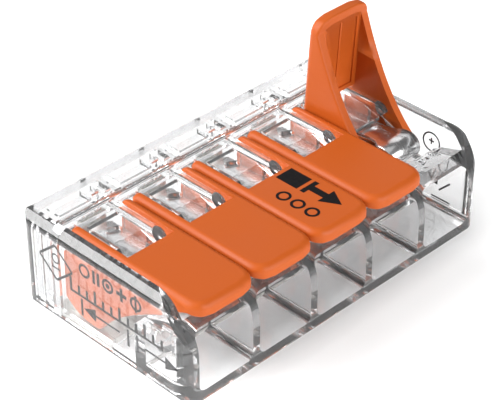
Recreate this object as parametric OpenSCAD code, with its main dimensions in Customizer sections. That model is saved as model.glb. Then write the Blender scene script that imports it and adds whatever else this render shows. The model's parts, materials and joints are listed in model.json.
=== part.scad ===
// Five-pole splicing connector for round wires, worked by one lever for each pole.
// Frame: X runs along the row of poles, the wires enter from -Y, +Z is up.
// The origin is the middle of the flat bottom face.

/* [Row of poles] */
// Distance between neighbouring poles
pitch = 5.6; // [5.5:0.05:5.8]
// What the row adds beyond the outer lever faces, on each side
end_wall = 0.95; // [0.9:0.05:1.3]
// Depth of the closed casing, front face to rear face
body_d = 16.5; // [16.4:0.1:17.2]
// Height of the closed casing
body_h = 8; // [7.9:0.05:8.3]
// Thickness of the floor
floor_t = 0.8; // [0.75:0.05:0.9]

/* [Levers] */
// Thickness of a lever's cheek plates
cheek_t = 0.66; // [0.55:0.01:0.7]
// Free space between two neighbouring levers
lever_gap = 0.14; // [0.1:0.02:0.2]
// Thickness of a lever's top plate
plate_t = 0.9; // [0.7:0.05:1]
// How far a lever turns from closed to open, in degrees
open_angle = 86; // [60:1:86]
// Radius of the lower end of the cheeks, about the hinge line
cheek_r = 4; // [3.7:0.05:4]
// Radius of the two hinge pins on a lever
pin_r = 0.6; // [0.5:0.05:0.65]
// Radial play of the hinge pins in their bores
pin_play = 0.05; // [0.03:0.01:0.08]

/* [Clamp] */
// Thickness of the spring strip
strip_t = 0.3; // [0.2:0.02:0.3]
// Mean radius of the spring's bend
bend_r = 0.85; // [0.8:0.01:0.85]
// Slope of the closed clamp leg below the horizontal, in degrees
leg_slope = 38; // [37:0.5:39]
// Turn of a clamp leg for each degree of its lever
lift_ratio = 0.34; // [0.3:0.01:0.34]
// Thickness of the current bar
bar_t = 0.78; // [0.6:0.02:0.78]

/* [Wire entries] */
// Width of an entry mouth
mouth_w = 4.95; // [4.6:0.05:5]
// Height of an entry mouth
mouth_h = 4.8; // [4.6:0.05:4.8]
// Radius of the round hole that guides the bare wire
bore_r = 1.3; // [1:0.05:1.35]

/* [Hidden] */
$fn = 48;
eps = 0.02;

// Casing
poles = 5;
row_half = poles * pitch / 2;
body_half = row_half + end_wall;
front_y = -body_d / 2;
back_y = body_d / 2;
foot_inset = 0.5;
corner_r = 1.2;
shoulder_r = 1.1;
back_edge_r = 0.45;
seam_y = 4.2;
seam_gap = 0.05;
lap_t = 0.42;
bridge_y0 = 4.4;
bridge_y1 = 5.2;
bridge_z = 6.9;
bridge_top = body_h - 0.28;
bead_w = 0.42;
groove_y0 = 3.5;
groove_y1 = bridge_y0 + 0.3;
groove_x = -1.55;
groove_w = 0.62;
groove_step = 1.25 * groove_w;
groove_t = 0.4;
roof_z = 7.2;
rear_wall = 0.85;
field_y = 5.6;
field_l = 1.25;
field_t = 0.4;
wide_field = [-2.3, 2.9];
slim_field = [0.95, 0.6];
edge_field = [1.8, 0.55];
slim_short = 0.35;
partition_t = 0.5;
rib_t = 0.35;

// Front curve of the end walls: an arc, a straight slope and a flatter arc
crown_r = 2.4;
crown_turn = 54.5;
brow_r = 3.5;
brow_run = 0.95;
crown_y = front_y + brow_r * (1 - sin(crown_turn)) + brow_run + crown_r * sin(crown_turn);

// Wire entries
block_back = -3;
plate_y = -3.9;
mouth_step_y = -5.6;
mouth_r = 0.55;
inner_roof_z = 5.05;
bore_z = 2.52;
bore_lead = 0.35;
plate_top = 4.15;
lintel_top = 6.5;
roof_slope = [[-7.3, lintel_top], [-6.6, 6.2], [-5.2, 5.75], [-4.5, 5.35]];
recess_x = [-1.9, 1.2];
recess_t = 0.25;
recess_z = 6;

// Hinge line of the levers
hinge_y = 1.38;
hinge_z = 5.37;
lever_half = (pitch - lever_gap) / 2;
fork_half = lever_half - cheek_t;
tip_y = -8.66;
tip_z = 6.9;
fork_y = -1.14;
cheek_back = 4.2;
cheek_corner_y = 0.75;
tip_corner_r = 1.3;
tip_arc_r = 7.5;
rim_t = 0.7;
step_in = 0.38;
step_t = 0.14;
ridge_t = 0.14;
ridge_h = 0.06;
rear_sweep_r = 3.75;

// Islands between the cheeks
island_half = fork_half - 0.09;
web_in = 1.3;
web_out = 1.65;
web_r = 1;
web_arm_y = hinge_y - 0.45;
web_arm_w = 2.2;
web_arm_top = 7.3;
rib_low = 7.2;
left_rib_w = 0.35;
left_rib_top = body_h - 0.25;
right_rib_w = 0.98;
right_rib_top = body_h - 0.54;
rail_top = body_h - 0.05;
deck_y = 1.2;
deck_z = body_h - 0.4;
deck_step_y = 3.3;
ramp_y = -0.5;
ramp_left = 0.45;
ramp_right = 0.9;
ramp_lip = 0.1;
ramp_deep = 0.42;
ramp_land = 0.3;
slot_r = 0.3;
slot_at = [-0.35, 2.25, 6.5];
slot_turn = -25;

// Pegs that lift the clamp legs
peg_r = 0.3;
peg_arm = 1.38;
peg_turn = 222;
peg_in = 1.72;
peg_play = 0.09;

// Springs
bend_y = -3.2;
bend_z = 5.8;
leg_len = 6;
leg_half = 1.1;
bend_half = 1.6;
lug_in = 1.7;
lug_out = 2;
hook_half = 0.6;
hook_play = 0.08;
hook_lift = 0.06;
wing_0 = 0.9;
wing_1 = 1.7;
lug_root_r = 2.9;
lug_nose = [1.6, -18];
lug_spread = 4.5;
bar_y0 = -0.5;
bar_y1 = 5.2;
bar_top = 1.2;
tab_t = 0.5;
tab_top = 6.8;
tab_half = 1.1;

clear = [0.86, 0.9, 0.92, 0.45];
smoke = [0.78, 0.84, 0.88, 0.5];
orange = [0.83, 0.36, 0.13];
steel = [0.74, 0.75, 0.76];
tinned = [0.66, 0.64, 0.6];

// Middle of pole k, counted from 1 at the -X end
function pole_x(k) = (k - (poles + 1) / 2) * pitch;

// Points of an arc about [y, z], from angle a to angle b
function arc(y, z, r, a, b, n) =
    [for (i = [0:n]) [y + r * cos(a + (b - a) * i / n), z + r * sin(a + (b - a) * i / n)]];

// Point of a quadratic curve with ends p and r and handle q
function curve_point(p, q, r, t) = (1 - t) * (1 - t) * p + 2 * t * (1 - t) * q + t * t * r;

// Point that lies s along the clamp leg and h above its middle line
function leg_point(s, h) = [
    bend_y + s * cos(leg_slope) + (h - bend_r) * sin(leg_slope),
    bend_z - s * sin(leg_slope) + (h - bend_r) * cos(leg_slope)
];

// Point at radius r and angle a about the spring's bend
function about_bend(r, a) = [bend_y + r * cos(a), bend_z + r * sin(a)];

// Extrudes a [y, z] outline from x0 to x1
module along_x(x0, x1) {
    translate([x0, 0, 0])
        rotate([90, 0, 90])
            linear_extrude(x1 - x0)
                children();
}

// Rod along X with its middle line at [y, z]
module rod(y, z, r, x0, x1) {
    translate([x0, y, z])
        rotate([0, 90, 0])
            cylinder(r = r, h = x1 - x0);
}

// Repeats a shape on the +X and -X side
module both_sides() {
    children();
    mirror([1, 0, 0]) children();
}

// ---------- casing ----------

module rounded_square(w, h, r) {
    square([w - 2 * r, h], center = true);
    square([w, h - 2 * r], center = true);
    for (x = [-1, 1], y = [-1, 1])
        translate([x * (w / 2 - r), y * (h / 2 - r)])
            circle(r);
}

// Side view of the casing, with the curved front of the end walls
module side_outline() {
    crown_end = [crown_y - crown_r * sin(crown_turn), body_h - crown_r * (1 - cos(crown_turn))];
    brow_y = front_y + brow_r;
    brow_z = crown_end[1] - brow_run * tan(crown_turn) - brow_r * cos(crown_turn);
    polygon(concat(
        [[front_y, 0], [back_y, 0]],
        arc(back_y - back_edge_r, body_h - back_edge_r, back_edge_r, 0, 90, 6),
        arc(crown_y, body_h - crown_r, crown_r, 90, 90 + crown_turn, 14),
        arc(brow_y, brow_z, brow_r, 90 + crown_turn, 180, 10)
    ));
}

// Front view of the casing: rounded shoulders and a foot set in from the sides
module front_outline() {
    intersection() {
        union() {
            translate([-body_half, floor_t])
                square([2 * body_half, body_h - shoulder_r - floor_t]);
            translate([-body_half + shoulder_r, floor_t])
                square([2 * (body_half - shoulder_r), body_h - floor_t]);
            for (x = [-1, 1])
                translate([x * (body_half - shoulder_r), body_h - shoulder_r])
                    circle(shoulder_r);
            translate([-body_half + foot_inset, 0])
                square([2 * (body_half - foot_inset), floor_t + eps]);
        }
        translate([-body_half, 0])
            square([2 * body_half, body_h]);
    }
}

// Outer volume of the whole casing
module envelope() {
    intersection() {
        linear_extrude(body_h)
            rounded_square(2 * body_half, body_d, corner_r);
        along_x(-body_half, body_half)
            side_outline();
        translate([0, back_y, 0])
            rotate([90, 0, 0])
                linear_extrude(body_d)
                    front_outline();
    }
}

// Block behind the front face that the entries run through
module entry_block() {
    difference() {
        along_x(-row_half - eps, row_half + eps)
            polygon(concat(
                [[front_y, 0], [front_y, lintel_top]],
                roof_slope,
                [[roof_slope[3][0], plate_top], [block_back, plate_top], [block_back, 0]]
            ));
        for (k = [1:poles])
            translate([pole_x(k), 0, 0])
                wire_entry();
        for (k = [1:poles])
            translate([pole_x(k), 0, 0])
                tip_recess();
    }
}

// Square mouth, lower inner stretch and round wire hole of one pole
module wire_entry() {
    translate([0, mouth_step_y, floor_t + mouth_h / 2])
        rotate([90, 0, 0])
            linear_extrude(mouth_step_y - front_y + 1)
                rounded_square(mouth_w, mouth_h, mouth_r);
    translate([0, plate_y, (floor_t + inner_roof_z) / 2])
        rotate([90, 0, 0])
            linear_extrude(plate_y - mouth_step_y + eps)
                rounded_square(mouth_w, inner_roof_z - floor_t, mouth_r);
    translate([0, block_back + 1, bore_z])
        rotate([90, 0, 0])
            cylinder(r = bore_r, h = 2.5);
    translate([0, plate_y + bore_lead - 0.05, bore_z])
        rotate([90, 0, 0])
            cylinder(r1 = bore_r, r2 = bore_r + bore_lead, h = bore_lead);
}

// Shallow recess in the lintel under a lever's tip
module tip_recess() {
    translate([recess_x[0], front_y - 1, recess_z])
        cube([recess_x[1] - recess_x[0], recess_t + 1, 2]);
}

// Clear island between the cheeks of one lever, with its two hinge bores
module island() {
    difference() {
        union() {
            along_x(-island_half, island_half)
                polygon([
                    [deck_y, rib_low], [bridge_y0 + 0.2, rib_low], [bridge_y0 + 0.2, bridge_top],
                    [groove_y0, bridge_top], [deck_step_y, deck_z], [deck_y, deck_z]
                ]);
            along_x(-island_half + ramp_left, island_half - ramp_right)
                polygon([
                    [ramp_y, rib_low - ramp_deep], [deck_y + eps, rib_low], [deck_y + eps, deck_z],
                    [deck_y - ramp_land, deck_z], [ramp_y, rib_low - ramp_lip]
                ]);
            along_x(-island_half, -island_half + left_rib_w)
                rib_outline(left_rib_top);
            along_x(island_half - right_rib_w, island_half)
                rib_outline(right_rib_top);
            intersection() {
                translate([island_half - right_rib_w / 2, bridge_y0 + 0.2, right_rib_top])
                    rotate([90, 0, 0])
                        cylinder(r = right_rib_w / 2, h = 6);
                along_x(island_half - 1, island_half + 1)
                    rib_outline(rail_top);
            }
            both_sides()
                along_x(web_in, web_out)
                    web_outline();
        }
        rod(hinge_y, hinge_z, pin_r + pin_play, -3, 3);
        translate(slot_at)
            rotate([0, 0, slot_turn])
                test_slot();
    }
}

// Slot for a test probe
module test_slot() {
    for (x = [-slot_r, slot_r])
        translate([x, 0, 0])
            cylinder(r = slot_r, h = 2);
    translate([-slot_r, -slot_r, 0])
        cube([2 * slot_r, 2 * slot_r, 2]);
}

// Side view of an island rib with top height z
module rib_outline(z) {
    drop = (z - rib_low) * 1.1;
    polygon([
        [0.2 - drop, rib_low], [0.2, z], [bridge_y0 + 0.2, z], [bridge_y0 + 0.2, rib_low]
    ]);
}

// Side view of a hinge web: a ring about the hinge line and an arm up to the bridge
module web_outline() {
    translate([hinge_y, hinge_z])
        circle(web_r);
    translate([web_arm_y, hinge_z])
        square([web_arm_w, web_arm_top - hinge_z]);
}

// Cross bridge behind the levers, cut away where the cheeks swing past
module bridge() {
    difference() {
        translate([-row_half - eps, bridge_y0, bridge_z])
            cube([2 * row_half + 2 * eps, bridge_y1 - bridge_y0, bridge_top - bridge_z]);
        for (k = [0:poles])
            rod(hinge_y, hinge_z, rear_sweep_r, (k - poles / 2) * pitch - pitch / 2 + island_half + 0.01,
                (k - poles / 2) * pitch + pitch / 2 - island_half - 0.01);
        for (k = [1:poles])
            translate([pole_x(k), 0, 0])
                sunk_wedges();
    }
    bead_r = bead_w / 2;
    rod(bridge_y1 - bead_r, body_h - bead_r, bead_r, -row_half - eps, row_half + eps);
    translate([-row_half - eps, bridge_y1 - bead_w, bridge_top - eps])
        cube([2 * row_half + 2 * eps, bead_w, body_h - bead_r - bridge_top + eps]);
}

// Row of wedge-shaped pockets in front of the bead, open at the top
module sunk_wedges() {
    for (i = [0:2])
        along_x(groove_x + i * groove_step, groove_x + i * groove_step + groove_w)
            polygon([
                [groove_y0, body_h + 1], [groove_y0, bridge_top],
                [groove_y1, bridge_top - groove_t], [groove_y1, body_h + 1]
            ]);
}

module housing() {
    color(clear)
    difference() {
        union() {
            intersection() {
                envelope();
                union() {
                    both_sides()
                        translate([row_half, front_y, 0])
                            cube([end_wall + 1, seam_y - front_y, body_h]);
                    translate([-body_half, front_y, 0])
                        cube([2 * body_half, seam_y - front_y, floor_t]);
                    entry_block();
                }
            }
            both_sides()
                translate([row_half - eps, seam_y - eps, floor_t + 0.3])
                    cube([lap_t + eps, bridge_y1 - seam_y + eps, body_h - 0.85 - floor_t]);
            bridge();
            for (k = [1:poles])
                translate([pole_x(k), 0, 0])
                    island();
        }
        bar_channel();
    }
}

// Trough in the floor that the current bar lies in
module bar_channel() {
    translate([-row_half + 0.05, bar_y0 - 0.1, bar_top - bar_t - eps])
        cube([2 * row_half - 0.1, bar_y1 - bar_y0 + 0.2, bar_t]);
}

module rear_cover() {
    y0 = seam_y + seam_gap;
    inner_back = back_y - rear_wall;
    color(smoke)
    union() {
        difference() {
            intersection() {
                envelope();
                translate([-body_half, y0, 0])
                    cube([2 * body_half, back_y - y0, body_h]);
            }
            translate([-row_half, y0 - 1, floor_t])
                cube([2 * row_half, inner_back - y0 + 1, roof_z - floor_t]);
            both_sides()
                translate([row_half - eps, y0 - 1, floor_t])
                    cube([lap_t + 0.06, bridge_y1 - y0 + 1.05, body_h - floor_t - 0.5]);
            translate([-row_half - 0.05, y0 - 1, roof_z - 1])
                cube([2 * row_half + 0.1, bridge_y1 - y0 + 1.05, 3]);
            for (k = [1:poles])
                translate([pole_x(k), 0, 0])
                    roof_windows();
            bar_channel();
        }
        for (k = [1:poles - 1])
            translate([pole_x(k) + (pitch - partition_t) / 2, bridge_y1 + 0.3, floor_t - eps])
                cube([partition_t, inner_back - bridge_y1 - 0.3 + eps, roof_z - floor_t + 2 * eps]);
        both_sides()
            for (y = [6, 6.9])
                translate([row_half - rib_t, y, floor_t - eps])
                    cube([rib_t + eps, rib_t, roof_z - floor_t + 2 * eps]);
    }
}

// Sunk fields in the roof of the rear cover, one pair for each pole
module roof_windows() {
    for (field = [wide_field, edge_field])
        translate([field[0], field_y, body_h - field_t])
            cube([field[1], field_l, 1]);
    translate([slim_field[0], field_y + slim_short, body_h - field_t])
        cube([slim_field[1], field_l - slim_short, 1]);
}

// ---------- current bar and springs ----------

module current_bar() {
    color(tinned)
    difference() {
        union() {
            translate([-row_half + 0.1, bar_y0, bar_top - bar_t])
                cube([2 * row_half - 0.2, bar_y1 - bar_y0, bar_t]);
            for (k = [1:poles])
                translate([pole_x(k) - tab_half, bar_y1 - tab_t, bar_top - eps])
                    cube([2 * tab_half, tab_t, tab_top - bar_top + eps]);
        }
        for (k = [1:poles])
            translate([pole_x(k), 0, 0])
                hook_slot();
    }
}

// Slot in a tab of the bar that a spring's hook passes through
module hook_slot() {
    half = hook_half + hook_play;
    translate([-half, bar_y1 - tab_t - 1, spring_z() - strip_t / 2 - hook_lift])
        cube([2 * half, tab_t + 2, strip_t + 2 * hook_lift]);
}

// Middle height of the straight contact leg
function spring_z() = bend_z + bend_r - strip_t - 0.04;

// Fixed part of a spring: inner curl and contact leg, hooked into the bar's tab
module spring(k) {
    curl_r = bend_r - strip_t - 0.04;
    color(steel)
    translate([pole_x(k), 0, 0]) {
        along_x(-bend_half, bend_half)
            ring_sector(curl_r, 90, 300);
        translate([-bend_half, bend_y - eps, spring_z() - strip_t / 2])
            cube([2 * bend_half, 0.7 + eps, strip_t]);
        translate([-leg_half, bend_y + 0.6, spring_z() - strip_t / 2])
            cube([2 * leg_half, bar_y1 - tab_t - 0.1 - bend_y - 0.6, strip_t]);
        translate([-hook_half, bar_y1 - tab_t - 0.2, spring_z() - strip_t / 2])
            cube([2 * hook_half, tab_t + 0.4, strip_t]);
    }
}

// Bent strip about the spring's bend with mean radius r, from angle a to angle b
module ring_sector(r, a, b) {
    n = 4;
    reach = 3 * r;
    difference() {
        translate([bend_y, bend_z])
            circle(r + strip_t / 2);
        translate([bend_y, bend_z])
            circle(r - strip_t / 2);
        polygon(concat([[bend_y, bend_z]],
            [for (i = [0:n]) about_bend(reach, b + (a + 360 - b) * i / n)]));
    }
}

// Moving part of a spring in its closed position: outer bend, clamp leg and lugs
module clamp_leg_shape() {
    t = strip_t / 2;
    along_x(-bend_half, bend_half)
        ring_sector(bend_r, 112, 270 - leg_slope);
    along_x(-bend_half, bend_half)
        polygon([
            leg_point(-eps, -t), leg_point(wing_0 + eps, -t), leg_point(wing_0 + eps, t), leg_point(-eps, t)
        ]);
    along_x(-lug_out, lug_out)
        polygon([leg_point(wing_0, -t), leg_point(wing_1, -t), leg_point(wing_1, t), leg_point(wing_0, t)]);
    along_x(-leg_half, leg_half)
        polygon([leg_point(wing_1 - eps, -t), leg_point(leg_len, -t), leg_point(leg_len + 0.12, t),
            leg_point(wing_1 - eps, t)]);
    both_sides()
        along_x(lug_in, lug_out)
            polygon([
                leg_point(wing_0, 0), leg_point(wing_1, 0), about_bend(lug_root_r, lug_low),
                about_bend(lug_reach, lug_low), about_bend(lug_reach, lug_low + lug_spread),
                about_bend(lug_nose[0], lug_nose[1])
            ]);
}

// Angle of the lugs' lower edge about the bend, just above the pegs of the closed lever
peg_y = hinge_y + peg_arm * cos(peg_turn);
peg_z = hinge_z + peg_arm * sin(peg_turn);
peg_reach = norm([peg_y - bend_y, peg_z - bend_z]);
lug_low = atan2(peg_z - bend_z, peg_y - bend_y) + asin((peg_r + peg_play) / peg_reach);
lug_reach = peg_reach + 0.2;

// Clamp leg of pole k, lifted as far as a lever at the given angle lifts it
module clamp_leg(k, lever_angle) {
    color(steel)
    translate([pole_x(k), bend_y, bend_z])
        rotate([lift_ratio * lever_angle, 0, 0])
            translate([0, -bend_y, -bend_z])
                clamp_leg_shape();
}

// ---------- levers ----------

// Plan view of a lever with its rounded tip, drawn inset by m
module lever_plan(m) {
    half = lever_half - m;
    r = tip_corner_r - m;
    corner_y = tip_y + 0.11 + tip_corner_r;
    intersection() {
        union() {
            translate([-half, corner_y])
                square([2 * half, cheek_back + 1 - corner_y]);
            translate([-half + r, corner_y - r])
                square([2 * (half - r), r + 1]);
            for (x = [-1, 1])
                translate([x * (half - r), corner_y])
                    circle(r);
        }
        union() {
            translate([0, tip_y + tip_arc_r])
                circle(tip_arc_r - m, $fn = 96);
            translate([-half, tip_y + 3])
                square([2 * half, 12]);
        }
    }
}

// Side view of a closed lever: flat top, slim tip, cheeks that end in an arc about the hinge
module lever_outline() {
    corner = [cheek_corner_y, hinge_z - sqrt(pow(cheek_r, 2) - pow(cheek_corner_y - hinge_y, 2))];
    tip_low = [-7.4, tip_z + 0.15];
    handle = [-1.6, 4.55];
    a0 = atan2(corner[1] - hinge_z, corner[0] - hinge_y);
    a1 = -acos((cheek_back - hinge_y) / cheek_r);
    top_r = 0.6;
    polygon(concat(
        [for (i = [0:12]) curve_point(tip_low, handle, corner, i / 12)],
        arc(hinge_y, hinge_z, cheek_r, a0, a1, 14),
        arc(cheek_back - top_r, body_h - top_r, top_r, 0, 90, 6),
        [[tip_y, body_h], [tip_y, tip_z]]
    ));
}

module lever_shape() {
    difference() {
        intersection() {
            along_x(-lever_half, lever_half)
                lever_outline();
            linear_extrude(body_h + 1)
                lever_plan(0);
        }
        translate([0, 0, -1])
            linear_extrude(body_h - plate_t + 1)
                intersection() {
                    lever_plan(rim_t);
                    translate([-fork_half, tip_y])
                        square([2 * fork_half, 20]);
                }
        difference() {
            translate([0, 0, -1])
                linear_extrude(body_h - plate_t + step_t + 1)
                    intersection() {
                        lever_plan(rim_t + step_in);
                        translate([-fork_half + step_in, tip_y])
                            square([2 * (fork_half - step_in), fork_y - step_in - tip_y]);
                    }
            translate([-ridge_t / 2, tip_y, body_h - plate_t + step_t - ridge_h])
                cube([ridge_t, fork_y - tip_y, 1]);
        }
        translate([-fork_half, fork_y, -1])
            cube([2 * fork_half, 12, body_h + 3]);
        translate([-fork_half, fork_y - 3, -1])
            cube([2 * fork_half, 12, body_h - plate_t + 1]);
    }
    both_sides()
        rod(hinge_y, hinge_z, pin_r, web_in, fork_half + 0.1);
    both_sides()
        rod(peg_y, peg_z, peg_r, peg_in, fork_half + 0.1);
}

// Lever of pole k, turned open by the given angle
module lever(k, angle) {
    color(orange)
    translate([pole_x(k), hinge_y, hinge_z])
        rotate([-angle, 0, 0])
            translate([0, -hinge_y, -hinge_z])
                lever_shape();
}

housing();
rear_cover();
current_bar();
spring(1);  // spring_1
spring(2);  // spring_2
spring(3);  // spring_3
spring(4);  // spring_4
spring(5);  // spring_5
clamp_leg(1, 0);  // clamp_leg_1
clamp_leg(2, 0);  // clamp_leg_2
clamp_leg(3, 0);  // clamp_leg_3
clamp_leg(4, 0);  // clamp_leg_4
clamp_leg(5, open_angle);  // clamp_leg_5
lever(1, 0);  // lever_1
lever(2, 0);  // lever_2
lever(3, 0);  // lever_3
lever(4, 0);  // lever_4
lever(5, open_angle);  // lever_5
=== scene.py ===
"""Looks of a five-pole lever wire connector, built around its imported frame."""
import json
import math

import bmesh
import bpy
from mathutils import Matrix, Vector


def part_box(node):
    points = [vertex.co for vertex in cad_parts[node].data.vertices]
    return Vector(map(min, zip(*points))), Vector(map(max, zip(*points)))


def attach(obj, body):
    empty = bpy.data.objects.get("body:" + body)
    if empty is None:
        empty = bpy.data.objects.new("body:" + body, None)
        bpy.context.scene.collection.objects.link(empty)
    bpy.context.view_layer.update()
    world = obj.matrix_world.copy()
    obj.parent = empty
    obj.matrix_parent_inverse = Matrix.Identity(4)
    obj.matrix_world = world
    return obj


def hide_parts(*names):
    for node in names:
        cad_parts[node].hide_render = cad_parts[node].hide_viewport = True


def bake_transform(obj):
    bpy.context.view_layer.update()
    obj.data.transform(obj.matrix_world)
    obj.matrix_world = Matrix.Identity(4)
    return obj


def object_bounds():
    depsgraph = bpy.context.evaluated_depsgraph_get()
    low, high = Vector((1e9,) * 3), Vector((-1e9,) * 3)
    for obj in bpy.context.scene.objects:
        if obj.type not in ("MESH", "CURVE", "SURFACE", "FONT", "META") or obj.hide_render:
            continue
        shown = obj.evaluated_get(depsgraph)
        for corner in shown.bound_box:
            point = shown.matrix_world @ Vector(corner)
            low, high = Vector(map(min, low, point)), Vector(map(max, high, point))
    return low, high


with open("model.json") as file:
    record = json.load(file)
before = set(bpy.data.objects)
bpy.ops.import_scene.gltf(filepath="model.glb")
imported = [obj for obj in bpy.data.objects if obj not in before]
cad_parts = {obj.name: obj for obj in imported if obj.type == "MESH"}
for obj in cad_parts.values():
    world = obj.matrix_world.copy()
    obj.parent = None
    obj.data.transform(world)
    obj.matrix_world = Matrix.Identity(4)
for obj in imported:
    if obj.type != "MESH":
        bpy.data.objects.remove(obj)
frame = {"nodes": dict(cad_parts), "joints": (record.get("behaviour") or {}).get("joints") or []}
cad_low, cad_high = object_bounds()

MM = 0.001
POLES = 5

# Spring strip, in millimetres and degrees.
STRIP_THICKNESS = 0.28
BEND_RADIUS = 0.85
LEG_SLOPE = 38

# Enough ray bounces to see through every wall of the clear casing.
CLEAR_BOUNCES = 32

# Stage: the point that most softboxes face, in metres, and the direction of the dark flag.
LIGHT_AIM = (0, 0, 0.005)
FLAG_WAY = (-0.579, -0.579, 0.574)


# ---------- shader nodes ----------

def grey(level):
    """Opaque neutral colour."""
    return (level, level, level, 1)


def node(tree, kind, x, y, **inputs):
    """New shader node with the given input values, an underscore for each space in a name."""
    made = tree.nodes.new(kind)
    made.location = (x, y)
    for name, value in inputs.items():
        made.inputs[name.replace("_", " ")].default_value = value
    return made


def coordinates(tree, kind, x):
    """Coordinates of the shaded point, such as Object or Generated."""
    return node(tree, "ShaderNodeTexCoord", x, 0).outputs[kind]


def noise(tree, where, x, y, scale, detail):
    """Noise value over the given coordinates."""
    made = node(tree, "ShaderNodeTexNoise", x, y, Scale=scale, Detail=detail)
    tree.links.new(where, made.inputs["Vector"])
    return made.outputs["Fac"]


def map_range(tree, value, x, y, over, to):
    """Value mapped from the range over to the range to, and held at its ends."""
    made = node(
        tree, "ShaderNodeMapRange", x, y,
        From_Min=over[0], From_Max=over[1], To_Min=to[0], To_Max=to[1],
    )
    tree.links.new(value, made.inputs["Value"])
    return made.outputs["Result"]


def tone(tree, factor, x, y, low, high):
    """Mix node whose result runs from the colour low to the colour high."""
    made = node(tree, "ShaderNodeMix", x, y)
    made.data_type = "RGBA"
    made.inputs["A"].default_value = low
    made.inputs["B"].default_value = high
    tree.links.new(factor, made.inputs["Factor"])
    return made


def multiply(tree, first, second, x, y):
    """Product of two values."""
    made = node(tree, "ShaderNodeMath", x, y)
    made.operation = "MULTIPLY"
    tree.links.new(first, made.inputs[0])
    tree.links.new(second, made.inputs[1])
    return made.outputs[0]


def relief(tree, height, x, y, strength, distance):
    """Surface normal that follows a height."""
    made = node(tree, "ShaderNodeBump", x, y, Strength=strength, Distance=distance)
    tree.links.new(height, made.inputs["Height"])
    return made.outputs["Normal"]


# ---------- stage: camera, floor and light ----------

def link(name, data):
    """New object in the scene."""
    made = bpy.data.objects.new(name, data)
    bpy.context.scene.collection.objects.link(made)
    return made


def look_along(made, way):
    """Turns a camera or a light so that it looks along the given direction."""
    made.rotation_mode = "QUATERNION"
    made.rotation_quaternion = way.to_track_quat("-Z", "Y")


def place_camera():
    """Long lens, a little over 35 degrees above the bench, towards the -X front corner."""
    azimuth, elevation = math.radians(-45.01), math.radians(35.11)
    distance = 135.1 * MM
    aim_right, aim_up = -0.55 * MM, 4.4 * MM
    back = Vector((
        math.sin(azimuth) * math.cos(elevation),
        -math.cos(azimuth) * math.cos(elevation),
        math.sin(elevation),
    ))
    right = Vector((0, 0, 1)).cross(back).normalized()
    up = back.cross(right)
    data = bpy.data.cameras.new("camera")
    data.lens = 133.8
    data.sensor_width = 36
    data.clip_start = 0.005
    data.clip_end = 10
    camera = link("camera", data)
    camera.location = back * distance + right * aim_right + up * aim_up
    look_along(camera, -back)
    bpy.context.scene.camera = camera


def add_softbox(name, position, target, size, radiance):
    """Rectangular softbox that faces target, with the given brightness of its face."""
    data = bpy.data.lights.new(name, "AREA")
    data.shape = "RECTANGLE"
    data.size, data.size_y = size
    data.energy = radiance * math.pi * size[0] * size[1]
    light = link(name, data)
    light.location = position
    look_along(light, Vector(target) - Vector(position))


def light_world():
    """White tent, dark near and below the horizon.

    A dark flag hangs around FLAG_WAY, behind the camera. Clear edges mirror it and draw dark.
    """
    world = bpy.data.worlds.new("studio")
    bpy.context.scene.world = world
    world.use_nodes = True
    tree = world.node_tree
    tree.nodes.clear()
    where = coordinates(tree, "Generated", -800)
    split = node(tree, "ShaderNodeSeparateXYZ", -600, 0)
    tree.links.new(where, split.inputs[0])
    ramp = node(tree, "ShaderNodeValToRGB", -400, 0)
    tree.links.new(split.outputs["Z"], ramp.inputs["Fac"])
    horizon, sky = ramp.color_ramp.elements
    horizon.position, horizon.color = 0.04, grey(0.06)
    sky.position, sky.color = 0.6, grey(1)
    ramp.color_ramp.elements.new(0.2).color = grey(0.35)

    toward_flag = node(tree, "ShaderNodeVectorMath", -600, -250)
    toward_flag.operation = "DOT_PRODUCT"
    toward_flag.inputs[1].default_value = FLAG_WAY
    tree.links.new(where, toward_flag.inputs[0])
    shade = map_range(
        tree, toward_flag.outputs["Value"], -400, -250, over=(0.72, 0.88), to=(1.0, 0.12)
    )
    shaded = node(tree, "ShaderNodeVectorMath", -250, 0)
    shaded.operation = "SCALE"
    tree.links.new(ramp.outputs["Color"], shaded.inputs[0])
    tree.links.new(shade, shaded.inputs["Scale"])
    background = node(tree, "ShaderNodeBackground", -100, 0, Strength=0.16)
    tree.links.new(shaded.outputs[0], background.inputs["Color"])
    out = node(tree, "ShaderNodeOutputWorld", 100, 0)
    tree.links.new(background.outputs[0], out.inputs["Surface"])


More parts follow.
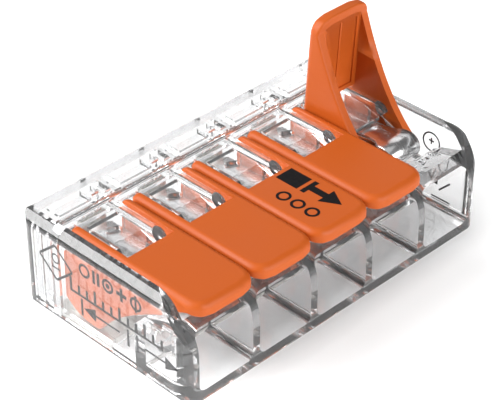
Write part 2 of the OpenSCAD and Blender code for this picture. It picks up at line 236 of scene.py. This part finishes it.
def floor_material():
    """White around the part, a grey bench further out, and a painted shadow where the part
    stands: darker colour and less glow.
    """
    sheet_edge, bench_edge = 60 * MM, 120 * MM
    footprint, blur = (("X", 15 * MM), ("Y", 8.5 * MM)), 2 * MM
    material = bpy.data.materials.new("floor")
    material.use_nodes = True
    tree = material.node_tree
    shader = tree.nodes["Principled BSDF"]
    shader.inputs["Roughness"].default_value = 0.9
    shader.inputs["Specular IOR Level"].default_value = 0.1
    shader.inputs["Emission Strength"].default_value = 0.42
    place = coordinates(tree, "Object", -1000)
    radius = node(tree, "ShaderNodeVectorMath", -800, 0)
    radius.operation = "LENGTH"
    tree.links.new(place, radius.inputs[0])
    on_sheet = map_range(
        tree, radius.outputs["Value"], -600, 0, over=(sheet_edge, bench_edge), to=(1, 0)
    )
    sheet = tone(tree, on_sheet, -400, 0, grey(0.5), grey(0.8))

    sides = node(tree, "ShaderNodeSeparateXYZ", -800, -300)
    tree.links.new(place, sides.inputs[0])
    within = []
    for axis, reach in footprint:
        aside = node(tree, "ShaderNodeMath", -650, -300)
        aside.operation = "ABSOLUTE"
        tree.links.new(sides.outputs[axis], aside.inputs[0])
        edge = (reach - blur, reach + blur)
        within.append(map_range(tree, aside.outputs[0], -500, -300, over=edge, to=(1, 0)))
    # Footprint mask for a painted contact shadow: the floor colour is painted darker under the
    # part.
    painted_shadow_mask = multiply(tree, *within, -350, -300)
    shaded = tone(tree, painted_shadow_mask, -100, 0, grey(0.8), grey(0.62))
    tree.links.new(sheet.outputs["Result"], shaded.inputs["A"])
    tree.links.new(shaded.outputs["Result"], shader.inputs["Base Color"])

    # Painted shadow in the glow as well: the floor glows much less under the part.
    glow_outside_painted_shadow = map_range(tree, painted_shadow_mask, -200, -300, over=(0, 1), to=(1, 0.1))
    glow = multiply(tree, on_sheet, glow_outside_painted_shadow, 0, -300)
    tree.links.new(glow, shader.inputs["Emission Color"])
    return material


def make_floor():
    """Plain floor a hair below the part."""
    form = bmesh.new()
    bmesh.ops.create_grid(form, x_segments=8, y_segments=8, size=1.5)
    floor = link("floor", mesh_of("floor", form))
    floor.location.z = -0.03 * MM
    floor.data.materials.append(floor_material())


def light_stage():
    """World, floor and softboxes: the two strong ones are the key, rear left, and front_card."""
    scene = bpy.context.scene
    scene.view_settings.view_transform = "Standard"
    scene.cycles.max_bounces = CLEAR_BOUNCES
    scene.cycles.transmission_bounces = CLEAR_BOUNCES
    light_world()
    make_floor()
    add_softbox("overhead", (-0.05, -0.05, 0.40), (0, 0, 0), (0.36, 0.36), 0.5)
    add_softbox("left_card", (-0.36, 0.02, 0.16), LIGHT_AIM, (0.40, 0.26), 0.8)
    add_softbox("key", (-0.25, 0.26, 0.24), LIGHT_AIM, (0.31, 0.34), 9.8)
    add_softbox("front_card", (0.04, -0.42, 0.11), LIGHT_AIM, (0.34, 0.22), 9.0)
    add_softbox("rear_card", (0.26, 0.26, 0.26), LIGHT_AIM, (0.30, 0.22), 1.0)


# ---------- materials ----------

def new_material(name):
    """Material with an empty node tree."""
    material = bpy.data.materials.new(name)
    material.use_nodes = True
    tree = material.node_tree
    tree.nodes.clear()
    return material, tree


def clear_plastic(name, tint, through):
    """Polished clear polycarbonate with faint flow marks and fine scuffs.

    Lamps shine straight through it, dimmed by the factor through.
    """
    material, tree = new_material(name)
    place = coordinates(tree, "Object", -1100)
    flow = noise(tree, place, -900, 200, scale=420, detail=2)
    scuffs = noise(tree, place, -900, -100, scale=2600, detail=4)
    roughness = map_range(tree, scuffs, -650, -100, over=(0.45, 0.8), to=(0, 0.09))
    normal = relief(tree, flow, -450, 200, strength=0.12, distance=0.04 * MM)
    shader = node(
        tree, "ShaderNodeBsdfPrincipled", -250, 0,
        IOR=1.58, Base_Color=(*tint, 1), Transmission_Weight=0.975,
    )
    tree.links.new(roughness, shader.inputs["Roughness"])
    tree.links.new(normal, shader.inputs["Normal"])
    lamp = node(tree, "ShaderNodeBsdfTransparent", -250, -400, Color=grey(through))
    path = node(tree, "ShaderNodeLightPath", -250, 500)
    mix = node(tree, "ShaderNodeMixShader", 50, 0)
    tree.links.new(path.outputs["Is Shadow Ray"], mix.inputs["Fac"])
    tree.links.new(shader.outputs[0], mix.inputs[1])
    tree.links.new(lamp.outputs[0], mix.inputs[2])
    out = node(tree, "ShaderNodeOutputMaterial", 250, 0)
    tree.links.new(mix.outputs[0], out.inputs["Surface"])
    return material


def opaque(material, tree, colour, roughness, normal=None, **inputs):
    """Closes an opaque material: one shader with the given colour, roughness and relief."""
    shader = node(tree, "ShaderNodeBsdfPrincipled", -200, 0, **inputs)
    tree.links.new(colour.outputs["Result"], shader.inputs["Base Color"])
    tree.links.new(roughness, shader.inputs["Roughness"])
    if normal is not None:
        tree.links.new(normal, shader.inputs["Normal"])
    out = node(tree, "ShaderNodeOutputMaterial", 100, 0)
    tree.links.new(shader.outputs[0], out.inputs["Surface"])
    return material


def lever_plastic():
    """Satin orange moulding with a fine grain and a slightly uneven sheen."""
    material, tree = new_material("lever_plastic")
    place = coordinates(tree, "Object", -1100)
    broad = noise(tree, place, -900, 300, scale=160, detail=3)
    grain = noise(tree, place, -900, 0, scale=9000, detail=3)
    colour = tone(tree, broad, -500, 300, (0.465, 0.083, 0.008, 1), (0.505, 0.095, 0.011, 1))
    roughness = map_range(tree, broad, -500, 0, over=(0.3, 0.7), to=(0.42, 0.58))
    normal = relief(tree, grain, -500, -250, strength=0.12, distance=0.01 * MM)
    return opaque(material, tree, colour, roughness, normal, IOR=1.5, Specular_IOR_Level=0.25)


def rolled_metal(name, dark, light, rough_low, rough_high):
    """Rolled metal strip: fine lines along the strip and a cloudy sheen."""
    material, tree = new_material(name)
    place = coordinates(tree, "Object", -1300)
    stretch = node(tree, "ShaderNodeMapping", -1100, 0, Scale=(14, 1, 1))
    tree.links.new(place, stretch.inputs["Vector"])
    lines = noise(tree, stretch.outputs[0], -900, 0, scale=700, detail=3)
    cloud = noise(tree, place, -900, 300, scale=500, detail=2)
    colour = tone(tree, cloud, -500, 300, (*dark, 1), (*light, 1))
    roughness = map_range(tree, lines, -500, 0, over=(0.3, 0.7), to=(rough_low, rough_high))
    normal = relief(tree, lines, -500, -250, strength=0.05, distance=0.01 * MM)
    return opaque(material, tree, colour, roughness, normal, Metallic=1)


def printing_ink():
    """Matt black pad printing with slightly thin patches."""
    material, tree = new_material("printing_ink")
    place = coordinates(tree, "Object", -900)
    patches = noise(tree, place, -700, 0, scale=2200, detail=3)
    colour = tone(tree, patches, -400, 200, (0.002, 0.002, 0.0025, 1), (0.008, 0.008, 0.009, 1))
    roughness = map_range(tree, patches, -400, -100, over=(0.3, 0.7), to=(0.5, 0.75))
    return opaque(material, tree, colour, roughness, Specular_IOR_Level=0.15)


def dress(cad_node, material):
    """A better material for a CAD node that stays."""
    mesh = frame["nodes"][cad_node].data
    mesh.materials.clear()
    mesh.materials.append(material)


# ---------- joints and meshes ----------

def joint_of(body):
    """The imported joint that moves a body."""
    return next(j for j in frame["joints"] if j["child"] == body)


def joint_turn(joint, degrees):
    """Matrix that turns a point about a joint's axis."""
    pivot = Vector(joint["pos_m"])
    turn = Matrix.Rotation(math.radians(degrees), 4, Vector(joint["axis"]))
    return Matrix.Translation(pivot) @ turn @ Matrix.Translation(-pivot)


def mesh_of(name, form):
    """Mesh with the faces of a form, which is used up."""
    mesh = bpy.data.meshes.new(name)
    form.to_mesh(mesh)
    form.free()
    return mesh


def solid_mesh(name, form):
    """Mesh of closed shapes whose faces all look outward."""
    bmesh.ops.recalc_face_normals(form, faces=form.faces)
    return mesh_of(name, form)


def walls(form, low, high):
    """Faces between two closed loops of as many points each."""
    for i in range(len(low)):
        j = (i + 1) % len(low)
        form.faces.new((low[i], low[j], high[j], high[i]))


def prism(form, low, high):
    """Closed solid between two loops of corners."""
    form.faces.new(reversed(low))
    form.faces.new(high)
    walls(form, low, high)


def finish_mesh(name, mesh, material, sharp_degrees=38):
    """Object from a mesh, smooth except along edges sharper than the given angle."""
    for face in mesh.polygons:
        face.use_smooth = True
    mesh.set_sharp_from_angle(angle=math.radians(sharp_degrees))
    mesh.materials.clear()
    mesh.materials.append(material)
    return link(name, mesh)


def settle(made):
    """Applies an object's modifiers to its mesh."""
    bpy.context.view_layer.update()
    seen = made.evaluated_get(bpy.context.evaluated_depsgraph_get())
    mesh = bpy.data.meshes.new_from_object(seen)
    made.modifiers.clear()
    made.data = mesh


def cleaned_copy(cad_node):
    """Welded copy of a CAD node's mesh with flat faces joined into one each."""
    weld = 0.002 * MM
    form = bmesh.new()
    form.from_mesh(frame["nodes"][cad_node].data)
    bmesh.ops.remove_doubles(form, verts=form.verts, dist=weld)
    bmesh.ops.dissolve_limit(
        form, angle_limit=math.radians(1), verts=form.verts, edges=form.edges
    )
    bmesh.ops.recalc_face_normals(form, faces=form.faces)
    return form


# ---------- levers ----------

def mark_soft_edges(form, middle):
    """Weighs the edges of a closed lever: how far each is rounded, from 0 to 1."""
    top_depth, side_skin = 0.7 * MM, 0.02 * MM
    corner_radius, corner_start = 1.3 * MM, 1.41 * MM
    tip_share = 0.88
    top_tip, top_side, low_rim, inner_rim = 1.0, 0.8, 0.3, 0.22
    sharp = math.radians(32)
    top = max(v.co.z for v in form.verts)
    outer = max(abs(v.co.x - middle) for v in form.verts)
    tip = min(v.co.y for v in form.verts)

    def on_tip_outline(c):
        aside = max(abs(c.x - middle) - (outer - corner_radius), 0)
        ahead = max(tip + corner_start - c.y, 0)
        return math.hypot(aside, ahead) > tip_share * corner_radius

    layer = form.edges.layers.float.new("bevel_weight_edge")
    for edge in form.edges:
        if len(edge.link_faces) != 2 or edge.calc_face_angle() < sharp:
            continue
        ends = [v.co for v in edge.verts]
        at_top = all(c.z > top - top_depth for c in ends)
        at_side = all(abs(c.x - middle) > outer - side_skin for c in ends)
        at_tip = all(on_tip_outline(c) for c in ends)
        if at_top and at_tip:
            edge[layer] = top_tip
        elif at_top and at_side:
            edge[layer] = top_side
        elif at_side or at_tip:
            edge[layer] = low_rim
        elif at_top:
            edge[layer] = inner_rim


def lever(k):
    """Lever moulding: the CAD form with a soft crown, softened rims and cheeks."""
    body = "lever_%d" % k
    name = "lever_%d_moulding" % k
    joint = joint_of(body)
    closed = joint_turn(joint, joint["range_deg"][0])
    form = cleaned_copy(body)
    form.transform(closed)
    mark_soft_edges(form, joint["pos_m"][0])
    form.transform(closed.inverted())
    made = finish_mesh(name, mesh_of(name, form), orange)
    bevel = made.modifiers.new("soft_edges", "BEVEL")
    bevel.limit_method = "WEIGHT"
    bevel.width = 0.56 * MM
    bevel.segments = 4
    bevel.use_clamp_overlap = False
    bevel.harden_normals = True
    settle(made)
    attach(made, body)
    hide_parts(body)


# ---------- springs ----------

def stored_lift(leg_body):
    """Degrees by which a clamp leg is stored lifted, because its lever is stored open."""
    return max(-joint_of(leg_body)["range_deg"][0], 0)


def strip(name, line, thickness, material):
    """Bent metal strip: line holds (point, half width) pairs along its middle."""
    form = bmesh.new()
    chamfer = 0.22 * thickness
    half = thickness / 2
    across = Vector((1, 0, 0))
    rings = []
    for i, (point, width) in enumerate(line):
        before = line[max(i - 1, 0)][0]
        after = line[min(i + 1, len(line) - 1)][0]
        out = across.cross((after - before).normalized())
        section = [
            (width - chamfer, half), (-width + chamfer, half),
            (-width, half - chamfer), (-width, -half + chamfer),
            (-width + chamfer, -half), (width - chamfer, -half),
            (width, -half + chamfer), (width, half - chamfer),
        ]
        rings.append([form.verts.new(point + across * x + out * h) for x, h in section])
    for ring, following in zip(rings, rings[1:]):
        walls(form, ring, following)
    form.faces.new(rings[0])
    form.faces.new(reversed(rings[-1]))
    return finish_mesh(name, solid_mesh(name, form), material, sharp_degrees=50)


def spring(k):
    """One strip: hook in the bar's tab, contact leg, bend and clamp leg."""
    cad_node = "spring_%d" % k
    leg_body = "clamp_leg_%d" % k
    x, bend_y, bend_z = joint_of(leg_body)["pos_m"]
    bend_r = BEND_RADIUS * MM
    slope = LEG_SLOPE - stored_lift(leg_body)
    below_top, hook_length = 0.15 * MM, 0.68 * MM
    hook_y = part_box(cad_node)[1].y
    hook_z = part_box(cad_node)[1].z - below_top
    hook, tab, neck, flare, full = 0.6, 0.75, 1.1, 1.5, 1.6
    line = [((hook_y, hook_z), hook), ((hook_y - hook_length, hook_z), hook)]
    for y, rise, width in (
        (4.35, 0, tab), (4.0, 0, neck), (2.0, 0.02, neck), (0.0, 0.16, neck),
        (-1.6, 0.29, neck), (-2.2, 0.32, 1.2),
    ):
        line.append(((y * MM, hook_z + rise * MM), width))
    for y, width in ((-2.6, flare), (-2.9, full)):
        line.append(((y * MM, bend_z + bend_r), width))
    bend_steps = 20
    for i in range(bend_steps + 1):
        a = math.radians(90 + (180 - slope) * i / bend_steps)
        line.append(((bend_y + bend_r * math.cos(a), bend_z + bend_r * math.sin(a)), full))
    run = Vector((0, math.cos(math.radians(slope)), -math.sin(math.radians(slope))))
    foot = Vector((0, bend_y, bend_z)) + bend_r * Vector((0, run.z, -run.y))
    for along, width in (
        (0.5, full), (0.95, flare), (1.25, neck), (2.5, neck), (4.0, neck), (5.0, neck),
        (6.0, 1.06),
    ):
        point = foot + run * along * MM
        line.append(((point.y, point.z), width))
    made = strip(
        "spring_%d_strip" % k,
        [(Vector((x, y, z)), width * MM) for (y, z), width in line],
        STRIP_THICKNESS * MM,
        steel,
    )
    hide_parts(cad_node, leg_body)
    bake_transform(made)


def lugs(k):
    """The two ears of a clamp leg that the lever's pegs push up, each on its short wing."""
    name = "spring_%d_lugs" % k
    leg_body = "clamp_leg_%d" % k
    middle, bend_y, bend_z = joint_of(leg_body)["pos_m"]
    lifted = Matrix.Rotation(math.radians(stored_lift(leg_body)), 2)
    slope = math.radians(LEG_SLOPE)
    half = STRIP_THICKNESS / 2
    near, far = 0.93, 1.67
    wing_sides, ear_sides = (1.05, 1.978), (1.7, 1.98)
    ear_low, ear_high, ear_back = -14.9, -10.6, -18
    ear_root, ear_heel, ear_reach = 1.62, 2.88, 4.0

    def on_leg(along, height):
        above = height - BEND_RADIUS
        return (along * math.cos(slope) + above * math.sin(slope),
                -along * math.sin(slope) + above * math.cos(slope))

    def about_bend(radius, degrees):
        a = math.radians(degrees)
        return (radius * math.cos(a), radius * math.sin(a))

    wing = [on_leg(near, -half), on_leg(far, -half), on_leg(far, half), on_leg(near, half)]
    ear = [
        on_leg(near, 0), on_leg(far, 0), about_bend(ear_heel, ear_low),
        about_bend(ear_reach, ear_low), about_bend(ear_reach, ear_high),
        about_bend(ear_root, ear_back),
    ]
    form = bmesh.new()

    def rim(outline, x):
        points = [lifted @ Vector(point) for point in outline]
        return [form.verts.new((x, bend_y + p.x * MM, bend_z + p.y * MM)) for p in points]

    for side in (-1, 1):
        for outline, sides in ((wing, wing_sides), (ear, ear_sides)):
            prism(form, *[rim(outline, middle + side * x * MM) for x in sides])
    made = finish_mesh(name, solid_mesh(name, form), steel)
    edge = made.modifiers.new("rounding", "BEVEL")
    edge.width = 0.04 * MM
    edge.segments = 2
    settle(made)
    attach(made, leg_body)


# ---------- printed marks, drawn in millimetres ----------

def bar(u0, v0, u1, v1, width):
    """Corners of a straight stroke."""
    along = Vector((u1 - u0, v1 - v0)).normalized() * width / 2
    side = Vector((-along.y, along.x))
    return [
        (u0 - side.x, v0 - side.y), (u1 - side.x, v1 - side.y),
        (u1 + side.x, v1 + side.y), (u0 + side.x, v0 + side.y),
    ]


def dot(u, v, radius):
    """Corners of a round dot."""
    parts = 28
    turns = [2 * math.pi * i / parts for i in range(parts)]
    return [(u + radius * math.cos(a), v + radius * math.sin(a)) for a in turns]


def block(u0, v0, u1, v1):
    """Corners of a filled rectangle."""
    return [(u0, v0), (u1, v0), (u1, v1), (u0, v1)]


def arrow(u0, u1, v):
    """Stroke along u with a pointed head at u1."""
    width, head = 0.17, 1.25
    half_head = 0.42 * head
    way = 1 if u1 > u0 else -1
    neck = u1 - way * head
    return [bar(u0, v, neck, v, width), [(neck, v - half_head), (u1, v), (neck, v + half_head)]]


def outlined(corners, width):
    """Strokes around a closed outline."""
    return [bar(*a, *b, width) for a, b in zip(corners, corners[1:] + corners[:1])]


def printed(name, outlines, rings, to_place, body):
    """Thin printed marks: filled outlines, and rings given as (u, v, radius, width).

    Outlines that follow each other differ a little in thickness, which keeps the tops of
    crossing strokes apart.
    """
    thickness = 0.012 * MM
    form = bmesh.new()

    def loop(points, lift):
        return [form.verts.new(to_place(u * MM, v * MM, lift)) for u, v in points]

    for i, outline in enumerate(outlines):
        prism(form, loop(outline, 0), loop(outline, thickness * (1 + 0.05 * (i % 4))))
    for u, v, radius, width in rings:
        outer, inner = dot(u, v, radius), dot(u, v, radius - width)
        lift = 1.3 * thickness
        loops = [loop(outer, 0), loop(outer, lift), loop(inner, lift), loop(inner, 0)]
        for low, high in zip(loops, loops[1:] + loops[:1]):
            walls(form, low, high)
    made = finish_mesh(name, solid_mesh(name, form), ink)
    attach(made, body)


def left_marks():
    """Plain marks on the -X wall: wire symbols, ruler and strip gauge."""
    wall = cad_low.x + 0.03 * MM
    symbols, ruler, gauge = 6.3, 3.95, 3.0
    ruler_start, ruler_step = 2.95, 0.82

    def on_wall(u, v, lift):
        return Vector((wall - lift, u, v))

    rings = [(u, symbols, 0.56, 0.2) for u in (1.45, -0.9, -3.65)]
    rings.append((4.45, 5.75, 0.42, 0.13))
    shapes = [dot(-0.9, symbols, 0.2), bar(-3.65, symbols - 0.7, -3.65, symbols + 0.7, 0.2)]
    shapes += [bar(u, symbols - 0.55, u, symbols + 0.55, 0.26) for u in (0.5, 0.05, -2.25)]
    shapes.append(bar(-1.75, symbols, -2.75, symbols, 0.3))
    for i in range(12):
        u = ruler_start - ruler_step * i
        tall = 1.15 if i % 3 == 0 else 0.75
        shapes.append(bar(u, ruler, u, ruler + tall, 0.24))
    shapes.append(bar(3.07, ruler, -6.19, ruler, 0.2))
    shapes += [bar(u, gauge - 0.72, u, gauge + 0.72, 0.22) for u in (1.9, -2.75, -3.65)]
    shapes += arrow(-1.9, 1.75, gauge)
    shapes += arrow(-4.35, -7.6, gauge)
    shapes += outlined([(4.45, 6.85), (2.75, 5.4), (4.45, 3.95), (6.15, 5.4)], 0.19)
    shapes.append(bar(4.0, 4.95, 4.9, 4.95, 0.15))
    printed("left_marks", shapes, rings, on_wall, "casing")


def right_marks():
    """Plain marks on the +X wall: a gauge circle, wire symbols and bars."""
    wall = cad_high.x - 0.03 * MM
    gauge = 3.1

    def on_wall(u, v, lift):
        return Vector((wall + lift, u, v))

    rings = [(-3.85, 5.4, 0.85, 0.14), (-3.3, 3.05, 0.26, 0.12)]
    shapes = [bar(-3.85, 5.2, -3.85, 5.75, 0.14), bar(-3.6, 5.5, -4.1, 5.5, 0.14)]
    shapes.append([(-4.95, 5.35), (-5.6, 4.2), (-4.7, 4.45)])
    for i in range(3):
        shapes.append(bar(-4.1 - 0.28 * i, 4.2, -4.45 - 0.28 * i, 3.5, 0.11))
    shapes += [bar(-3.6, v, -4.75, v, 0.18) for v in (2.2, 3.0)]
    shapes += [bar(u, 2.11, u, 3.09, 0.18) for u in (-3.6, -4.75)]
    shapes.append(bar(-4.0, 2.6, -4.4, 2.6, 0.18))
    shapes += [bar(-5.0, 1.7, -6.0, 2.7, 0.14), bar(-4.3, 0.95, -6.1, 0.95, 0.14)]
    shapes += arrow(-2.2, 1.9, gauge)
    shapes.append(bar(2.1, gauge - 0.7, 2.1, gauge + 0.7, 0.22))
    printed("right_marks", shapes, rings, on_wall, "casing")


def lever_marks():
    """Plain stripped-wire symbol over three wire circles on the middle lever."""
    body = "lever_3"
    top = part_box(body)[1].z - 0.004 * MM
    middle = joint_of(body)["pos_m"][0]

    def on_top(u, v, lift):
        return Vector((middle + v, -u, top + lift))

    shapes = [
        block(1.55, 0.2, 3.55, 1.8),
        block(3.85, 0.2, 4.25, 1.8),
        block(4.25, 0.7, 5.6, 1.3),
        [(5.6, 0.15), (7.1, 1.0), (5.6, 1.85)],
    ]
    rings = [(3.55 + 1.35 * i, -1.05, 0.55, 0.2) for i in range(3)]
    printed("lever_marks", shapes, rings, on_top, body)


# ---------- the connector ----------

place_camera()
light_stage()

shell = clear_plastic("clear_shell", (0.945, 0.95, 0.955), 0.93)
cover = clear_plastic("clear_cover", (0.86, 0.865, 0.87), 0.90)
orange = lever_plastic()
steel = rolled_metal("spring_steel", (0.70, 0.70, 0.71), (0.80, 0.80, 0.80), 0.2, 0.28)
tin = rolled_metal("tinned_copper", (0.48, 0.46, 0.43), (0.62, 0.60, 0.57), 0.25, 0.45)
ink = printing_ink()

dress("housing", shell)
dress("rear_cover", cover)
dress("current_bar", tin)
for k in range(1, POLES + 1):
    lever(k)
    spring(k)
    lugs(k)

left_marks()
right_marks()
lever_marks()
